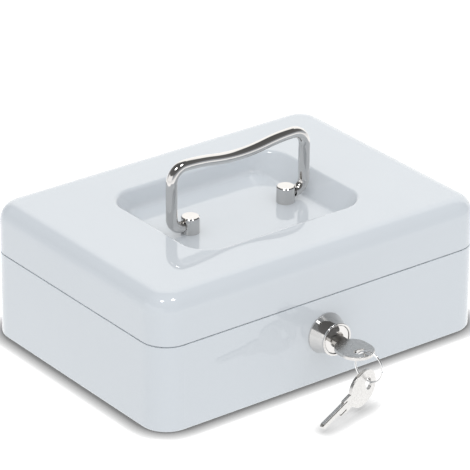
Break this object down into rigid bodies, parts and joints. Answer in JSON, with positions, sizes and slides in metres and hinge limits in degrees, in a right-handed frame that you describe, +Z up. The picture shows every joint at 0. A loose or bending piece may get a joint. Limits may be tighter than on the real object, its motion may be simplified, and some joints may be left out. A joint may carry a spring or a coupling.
{
  "type": "cash box",
  "caption": "Painted steel cash box with hinged lid, folding wire handle in a sunk well, keyed cam lock with keys on a ring, and a lift-out coin tray.",
  "frame": {"origin": "centre of the flat underside of the case", "axes": "+X to the right seen from the lock side, +Y from the lock to the hinges, +Z up"},
  "size_m": [0.254, 0.24, 0.128],
  "materials": {
    "paint": "gloss",
    "chrome": "polished",
    "nickel": "satin",
    "zinc": "zinc plated",
    "brass": "plain",
    "tray": "fine texture"
  },
  "bodies": {
    "base": {"base_shell": "paint", "lock_bezel": "chrome", "lock_housing": "zinc", "lock_washer": "zinc", "lock_nut": "zinc", "hinge_leaf_base_left": "zinc", "hinge_leaf_base_right": "zinc", "hinge_pin_left": "zinc", "hinge_pin_right": "zinc"},
    "lid": {"lid_shell": "paint", "hinge_leaf_lid_left": "zinc", "hinge_leaf_lid_right": "zinc", "lid_catch": "zinc", "handle_post_left": "chrome", "handle_post_right": "chrome", "post_washers": "zinc", "post_nuts": "zinc"},
    "handle": {"handle_bail": "chrome"},
    "plug": {"lock_plug": "chrome", "wafer_tumblers": "brass", "wafer_spring": "zinc", "lock_cam": "zinc", "cam_washer": "zinc", "cam_screw": "zinc"},
    "key": {"key": "nickel"},
    "ring": {"key_ring": "nickel"},
    "spare": {"spare_key": "nickel"},
    "tray": {"coin_tray": "tray"}
  },
  "joints": [
    {"name": "lid_hinge", "type": "hinge", "parent": "base", "child": "lid", "pos_m": [0, 0.09195, 0.05805], "axis": [-1, 0, 0], "range_deg": [0, 100]},
    {"name": "handle_fold", "type": "hinge", "parent": "lid", "child": "handle", "pos_m": [0, 0, 0.0829], "axis": [1, 0, 0], "range_deg": [-86, 86]},
    {"name": "plug_turn", "type": "hinge", "parent": "base", "child": "plug", "pos_m": [0, -0.0915, 0.0331], "axis": [0, 1, 0], "range_deg": [0, 90]},
    {"name": "key_slide", "type": "slide", "parent": "plug", "child": "key", "axis": [0, -1, 0], "range_m": [0, 0.026]},
    {"name": "ring_swing", "type": "hinge", "parent": "key", "child": "ring", "pos_m": [0, -0.1253, 0.0331], "axis": [0.2588, -0.9659, 0], "range_deg": [-20, 0]},
    {"name": "spare_key_swing", "type": "hinge", "parent": "ring", "child": "spare", "pos_m": [0.00184, -0.13218, 0.0156], "axis": [0.2588, -0.9659, 0], "range_deg": [-36, 0]},
    {"name": "tray_lift", "type": "slide", "parent": "base", "child": "tray", "axis": [0, 0, 1], "range_m": [0, 0.0075]}
  ]
}
